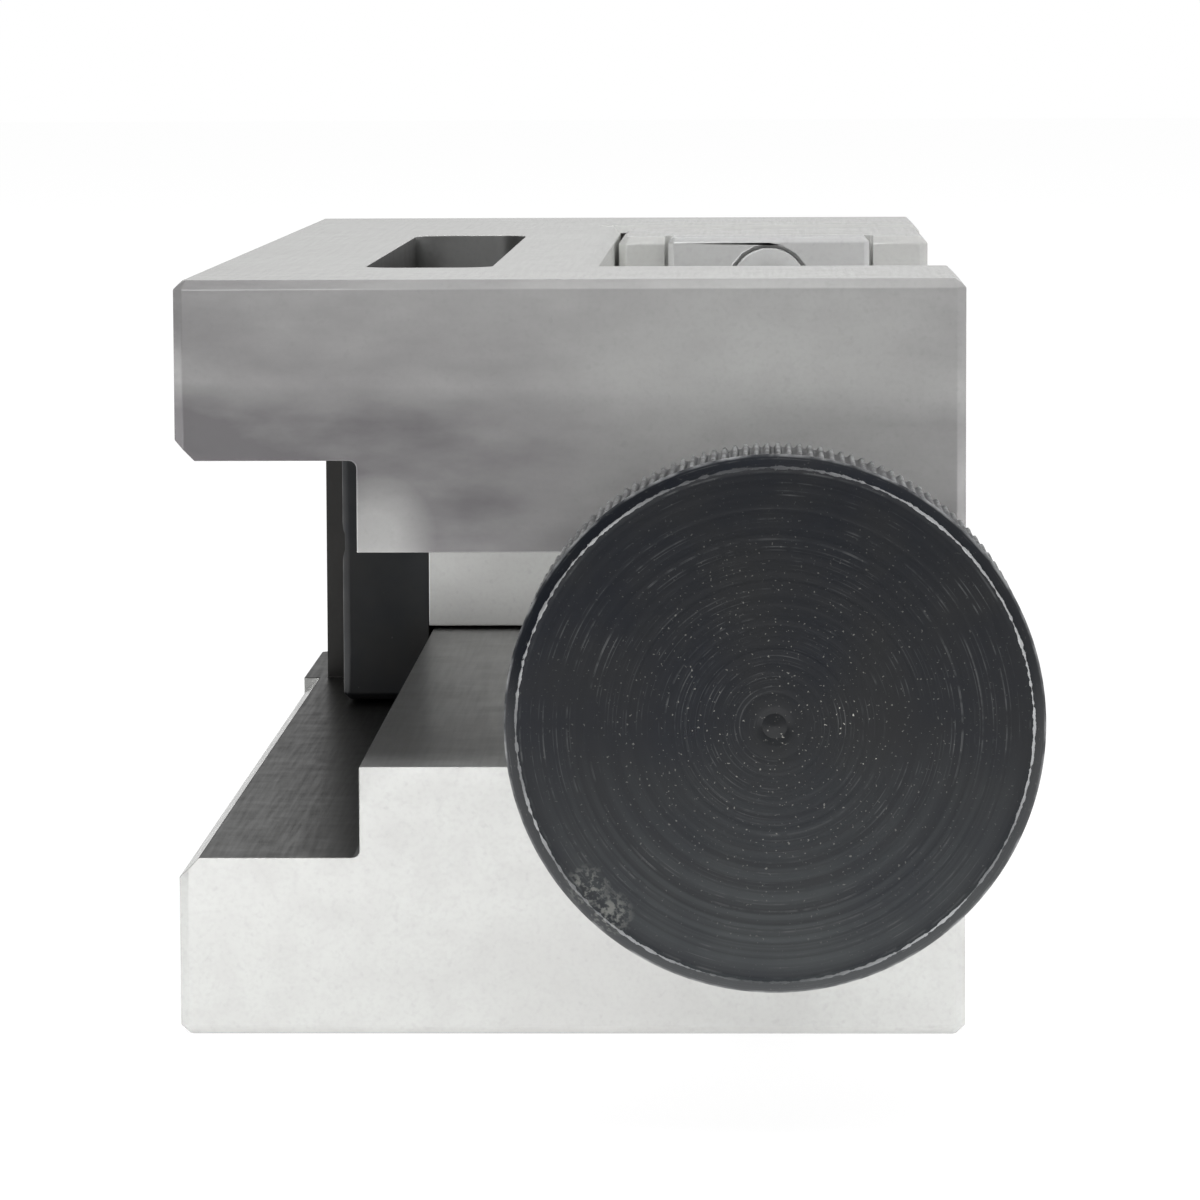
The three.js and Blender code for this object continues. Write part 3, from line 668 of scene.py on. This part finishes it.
def blackened_face(tree, place, far, patches):
    _, _, height = parts_of(tree, place)
    colour = mix(tree, ramp(tree, patches, 0.35, 0.65), (0.005, 0.007, 0.012), (0.009, 0.010, 0.012))
    # Painted light from the floor: the face is lighter towards the bottom, and wide turning rings show in it
    floor_light_and_rings = product(tree, ramp(tree, height, 9 * MM, 25 * MM, 1.0, 0.0),
                   ramp(tree, patches, 0.35, 0.65, 0.4, 0.8),
                   ramp(tree, line_noise(tree, far, 1500, 4), 0.36, 0.62, 0.35, 1.15))
    colour = mix(tree, floor_light_and_rings, colour, (0.055, 0.063, 0.066))
    arcs = product(tree, ramp(tree, line_noise(tree, far, 6500, 3), 0.56, 0.70),
                   ramp(tree, noise(tree, place, 280, 3), 0.44, 0.62),
                   ramp(tree, noise(tree, place, 1100, 3), 0.40, 0.60), 0.75)
    colour = mix(tree, arcs, colour, (0.085, 0.088, 0.09))
    # Specks as fine as dust, denser towards the middle and in a few small dings
    grains = ramp(tree, noise(tree, place, 5200, 1), 0.68, 0.74)
    share = ramp(tree, far, 3 * MM, 14 * MM, 0.30, 0.05)
    for x, z, width in DINGS:
        share = maths(tree, "MAXIMUM", share, near_spot(tree, (x, KNOB_FRONT, z), width))
    colour = mix(tree, product(tree, grains, share, 0.9), colour, (0.8, 0.79, 0.72))
    # A greasy smear near the lower left of the rim
    smear = maths(tree, "MAXIMUM", *(near_spot(tree, (x, KNOB_FRONT, z), width) for x, z, width in SMEARS))
    smear = product(tree, smear, ramp(tree, noise(tree, place, 3600, 5), 0.47, 0.60), 0.75)
    return mix(tree, smear, colour, (0.20, 0.205, 0.19))


# %% Bare steel at the front edge, and bare steel with a painted highlight on the knurl's crests
WORN_EDGE, CREST_START, CREST_END = 15.40, 15.98, 16.1


def rubbed_bare_and_crest_highlight(tree, place, far, along):
    """How bare the steel is: a thin broken line round the front, and the outermost parts of the knurl, where
    it also paints the highlight of light from above.
    """
    on_face = maths(tree, "LESS_THAN", along, (KNOB_FRONT + 0.3) * MM)
    reach = ramp(tree, noise(tree, place, 1900, 3), 0.35, 0.65, 0.01 * MM, 0.12 * MM)
    from_edge = maths(tree, "ABSOLUTE", maths(tree, "SUBTRACT", far, WORN_EDGE * MM))
    edge = maths(tree, "LESS_THAN", from_edge, reach)
    x, _, _ = parts_of(tree, place)
    sideways = maths(tree, "ABSOLUTE", maths(tree, "SUBTRACT", x, SCREW_X * MM))
    patchy = product(tree, ramp(tree, noise(tree, place, 110, 1), 0.36, 0.56, 0.3, 1.0),
                     ramp(tree, sideways, 2 * MM, 13 * MM, 0.12, 1.0))
    # The crests are partly rubbed bare and partly a painted highlight of light from above
    crest_wear_and_highlight = product(tree, ramp(tree, far, CREST_START * MM, CREST_END * MM),
                     ramp(tree, noise(tree, place, 700, 3), 0.4, 0.65, 0.05, 0.5))
    return maths(tree, "MAXIMUM", product(tree, edge, on_face, patchy), crest_wear_and_highlight)


# %% The knob's finish
def knob_finish():
    finish, tree, shader = new_finish("turned_black_finish", (0.01, 0.01, 0.01), 0.0, 0.33)
    place = place_on(tree)
    far, along = round_the_screw(tree)
    patches = noise(tree, place, 150, 3)
    bare_and_highlight = rubbed_bare_and_crest_highlight(tree, place, far, along)
    colour = mix(tree, bare_and_highlight, blackened_face(tree, place, far, patches), (0.62, 0.63, 0.64))
    tree.links.new(colour, shader.inputs["Base Color"])
    tree.links.new(maths(tree, "MULTIPLY", bare_and_highlight, 0.6), shader.inputs["Metallic"])
    tree.links.new(ramp(tree, patches, 0.3, 0.7, 0.27, 0.38), shader.inputs["Roughness"])
    bump(tree, shader, line_noise(tree, far, 4200, 4), 0.22)
    return finish


knob_black = knob_finish()
print("knob finish:", len(knob_black.node_tree.nodes), "nodes")

# %% [markdown]
# ## Dressing the pieces
# Each piece gets its finish. The body and the jaw are ground steel. The retainer, its screws, the pad and
# the pin are hardened. The keeper, the other small screws and the knob are blackened. Every face of a piece
# starts with the one finish.

# %% Give each piece its finish
def dress(piece, finish):
    piece.data.materials.clear()
    piece.data.materials.append(finish)
    for face in piece.data.polygons:
        face.material_index = 0


for piece in (body_block, jaw_block):
    dress(piece, ground_steel)
bright_screws = [screw for screw in small_screws if "flat" in screw.name]
for piece in (retainer_top, retainer_bottom, pad_disc, roll_pin, *bright_screws):
    dress(piece, hardened_steel)
for piece in (keeper_block, *(screw for screw in small_screws if screw not in bright_screws)):
    dress(piece, black_oxide)
dress(knob, knob_black)
dress(lead_screw, turned_steel)
dress(nut_sleeve, bronze)
print("bright screws:", len(bright_screws), "of", len(small_screws))

# %% [markdown]
# ## The recesses of the body
# The flank slots, the channel and the guide slot are milled and never ground, so their faces are darker.
# The channel's copy of the finish is darker still with painted shade, and the guide slot's is lighter with
# painted light.
# They could be pieces of their own, but on the vise they are one with the body. So each face of the body
# picks its finish by its place. The clamping face of the fixed jaw runs on down as the end wall of the
# channel, in one plane, so a bisect first cuts that plane in two where the bed begins.

# %% Cut the clamping face from the end wall
BED_X = 13.9
take(body_block)
bpy.ops.object.mode_set(mode="EDIT")
bpy.ops.mesh.select_mode(type="FACE")
bpy.ops.mesh.select_all(action="DESELECT")
body_mesh = bmesh.from_edit_mesh(body_block.data)
for face in body_mesh.faces:
    face.select_set(face.normal.y < -0.99 and abs(face.calc_center_median().y) < 1 * MM)
bmesh.update_edit_mesh(body_block.data)
bpy.ops.mesh.bisect(plane_co=(BED_X * MM, 0, 0), plane_no=(1, 0, 0))
bpy.ops.object.mode_set(mode="OBJECT")
print("body faces after the cut:", len(body_block.data.polygons))

# %% Give each recess its finish
# The places of the finishes in the body's list, and the limits of the recesses in mm
GROUND, FLANK_SLOT, CHANNEL, GUIDE = range(4)
CHANNEL_TOP_X, CHANNEL_HALF = -1.3, 13.4
GUIDE_TOP_X, GUIDE_HALF = 14.2, 7.3
BACK_Y = 20.5
SLOT_X, SLOT_Y, SLOT_ACROSS = (-2.5, 6.7), (-87.3, -22.7), (7.0, 24.8)
BORE_RADIUS = 10.3
for finish in (milled_steel, shaded_channel_steel, lit_guide_steel):
    body_block.data.materials.append(finish)


def within(value, limits):
    return limits[0] < value < limits[1]


def recess_of(centre, normal):
    """Which recess a face belongs to, by its centre in mm and the way it faces."""
    x, y, z = centre
    across = abs(z - SCREW_Z)
    if x < CHANNEL_TOP_X and across < CHANNEL_HALF:
        return CHANNEL if y < BACK_Y else GROUND
    if x < GUIDE_TOP_X and across < GUIDE_HALF:
        if abs(normal.z) > 0.9:
            return GUIDE
        return CHANNEL if y < BACK_Y else GROUND
    in_flank_slot = within(x, SLOT_X) and within(y, SLOT_Y) and within(across, SLOT_ACROSS)
    in_bore = math.hypot(x - SCREW_X, across) < BORE_RADIUS
    return FLANK_SLOT if in_flank_slot or in_bore else GROUND


for face in body_block.data.polygons:
    if face.center.y > (END_Y + 0.2) * MM:
        face.material_index = recess_of(face.center / MM, face.normal)
print("recess faces:", sum(face.material_index > 0 for face in body_block.data.polygons))

# %% [markdown]
# ## Camera
# The photograph was taken from about 375 mm in front of the screw block and a little above the vise,
# looking along it. Its place and turn were worked out from the corners of the block and the rim of the
# knob. A long lens at that distance gives the same strong perspective on the flank.

# %% Set up the camera
CAMERA_PLACE, LENS, SENSOR_WIDTH = (0.02459, -0.4820, 0.0659), 172.1, 36
YAW, PITCH_ANGLE, ROLL = (math.radians(angle) for angle in (-1.546, -5.625, -0.24))
camera_data = bpy.data.cameras.new("portrait_camera")
camera_data.lens = LENS
camera_data.sensor_width = SENSOR_WIDTH
camera_data.clip_start = 0.01
camera = bpy.data.objects.new("portrait_camera", camera_data)
bpy.context.scene.collection.objects.link(camera)
forward = Vector((math.sin(YAW) * math.cos(PITCH_ANGLE), math.cos(YAW) * math.cos(PITCH_ANGLE),
                  math.sin(PITCH_ANGLE)))
right = Vector((math.cos(YAW), -math.sin(YAW), 0))
up = right.cross(forward)
right, up = (right * math.cos(ROLL) + up * math.sin(ROLL), up * math.cos(ROLL) - right * math.sin(ROLL))
camera.matrix_world = Matrix.Translation(CAMERA_PLACE) @ Matrix((right, up, -forward)).transposed().to_4x4()
bpy.context.scene.camera = camera
print("camera looks along", [round(v, 3) for v in forward])

# %% [markdown]
# ## The floor
# The vise lies on a white sheet. A ground face shows what stands before it: below the slot it mirrors
# the sheet close by, and above the slot a stretch further out, where a studio is dark. So the sheet that
# reflections see is bright near the vise and dim beyond. The camera sees it white, with the vise's shadow.

# %% Pick a shader for one kind of ray
def emission(tree, strength):
    glow = tree.nodes.new("ShaderNodeEmission")
    if isinstance(strength, float):
        glow.inputs["Strength"].default_value = strength
    else:
        tree.links.new(strength, glow.inputs["Strength"])
    return glow.outputs[0]


def choose(tree, share, first, second):
    """Mix two shaders by a number or by a node's output."""
    choice = tree.nodes.new("ShaderNodeMixShader")
    if isinstance(share, float):
        choice.inputs["Fac"].default_value = share
    else:
        tree.links.new(share, choice.inputs["Fac"])
    tree.links.new(first, choice.inputs[1])
    tree.links.new(second, choice.inputs[2])
    return choice.outputs[0]


def for_rays(tree, kind, others, special):
    """The special shader for one kind of ray, and the other one for the rest."""
    ray = tree.nodes.new("ShaderNodeLightPath")
    return choose(tree, ray.outputs[kind], others, special)


# %% Lay the floor
def floor_finish():
    finish = bpy.data.materials.new("white_sheet")
    finish.use_nodes = True
    tree = finish.node_tree
    tree.nodes.clear()
    paper = tree.nodes.new("ShaderNodeBsdfDiffuse")
    paper.inputs["Color"].default_value = (0.9, 0.9, 0.9, 1)
    _, along, _ = parts_of(tree, place_on(tree))
    # Three ranges along Y in metres: where the sheet begins, how bright it is, and what lies beyond
    sheet = ramp(tree, along, -0.320, -0.285)
    fading = ramp(tree, along, -0.27, -0.13, 1.28, 0.76)
    beyond = ramp(tree, along, -1.2, -0.35, 0.42, 0.14)
    mirrored = emission(tree, maths(tree, "ADD", maths(tree, "MULTIPLY", sheet, fading), beyond))
    seen = choose(tree, 0.85, paper.outputs[0], emission(tree, 1.10))
    surface = for_rays(tree, "Is Camera Ray", paper.outputs[0], seen)
    surface = for_rays(tree, "Is Glossy Ray", surface, mirrored)
    output = tree.nodes.new("ShaderNodeOutputMaterial")
    tree.links.new(surface, output.inputs["Surface"])
    return finish


deselect()
bpy.ops.mesh.primitive_plane_add(size=8, location=(0, 0, 0))
floor = bpy.context.object
floor.name = "white_floor"
floor.data.materials.append(floor_finish())
print("floor:", round(floor.dimensions.x, 1), "m square")

# %% [markdown]
# ## The lamps
# A large soft box overhead lights the flank. Two weak lamps from the front lighten the end face and the
# knob, one from each side. A small lamp over the mouth reaches the jaw, and a narrow snoot shines through
# the guide slot on the tongue. All but the left front lamp stay out of reflections, where their edges
# would show.

# %% Hang the lamps
def hang(data, place, aim, mirrored=False):
    """Hang a lamp at a place in metres and turn it to what it shines on."""
    light = bpy.data.objects.new(data.name, data)
    bpy.context.scene.collection.objects.link(light)
    light.location = place
    light.rotation_euler = (Vector(aim) - Vector(place)).to_track_quat("-Z", "Y").to_euler()
    light.visible_glossy = mirrored


def soft_lamp(name, size, power):
    data = bpy.data.lights.new(name, "AREA")
    data.energy, data.shape, data.size = power, "SQUARE", size
    return data


hang(soft_lamp("overhead_soft_box", size=1.8, power=10.5), (0.1, 0.1, 1.2), (0.02, -0.05, 0))
hang(soft_lamp("front_fill", size=0.6, power=2), (-0.5, -1.2, 0.9), (0.02, -0.1, 0.02), mirrored=True)
hang(soft_lamp("right_fill", size=0.5, power=2.3), (0.45, -1.1, 0.22), (0.03, -0.1, 0.01))
hang(soft_lamp("mouth_light", size=0.15, power=0.8), (0.03, -0.22, 0.45), (0.03, -0.03, 0.04))
snoot = bpy.data.lights.new("snoot_on_the_slot", "SPOT")
snoot.energy, snoot.spot_size, snoot.spot_blend, snoot.shadow_soft_size = 6.5, math.radians(1.7), 0.4, 0.004
hang(snoot, (-0.004, -0.60, 0.027), (0.0035, -0.107, 0.0255))
print("lamps:", [data.name for data in bpy.data.lights])

# %% [markdown]
# ## The surroundings
# The camera sees plain white. Even light comes from all round and keeps the shadows soft. Reflections see
# a room that is lighter behind the vise than before it, and darker to the left and overhead.

# %% Set the surroundings
def background(tree, strength):
    shader = tree.nodes.new("ShaderNodeBackground")
    shader.inputs["Color"].default_value = (1, 1, 1, 1)
    if isinstance(strength, float):
        shader.inputs["Strength"].default_value = strength
    else:
        tree.links.new(strength, shader.inputs["Strength"])
    return shader.outputs[0]


world = bpy.data.worlds.new("studio")
bpy.context.scene.world = world
world.use_nodes = True
tree = world.node_tree
tree.nodes.clear()
where = tree.nodes.new("ShaderNodeTexCoord")
x, y, z = parts_of(tree, where.outputs["Generated"])
mirrored_level = product(tree, ramp(tree, y, -0.2, 0.6, 0.28, 0.52),
                         ramp(tree, z, 0.05, 0.7, 1.0, 0.75),
                         ramp(tree, x, -0.35, -0.05, 0.35, 1.0))
surroundings = for_rays(tree, "Is Glossy Ray", background(tree, 0.39), background(tree, mirrored_level))
surroundings = for_rays(tree, "Is Camera Ray", surroundings, background(tree, 1.0))
output = tree.nodes.new("ShaderNodeOutputWorld")
tree.links.new(surroundings, output.inputs["Surface"])
bpy.context.scene.view_settings.view_transform = "Standard"
print("surroundings:", len(tree.nodes), "nodes")
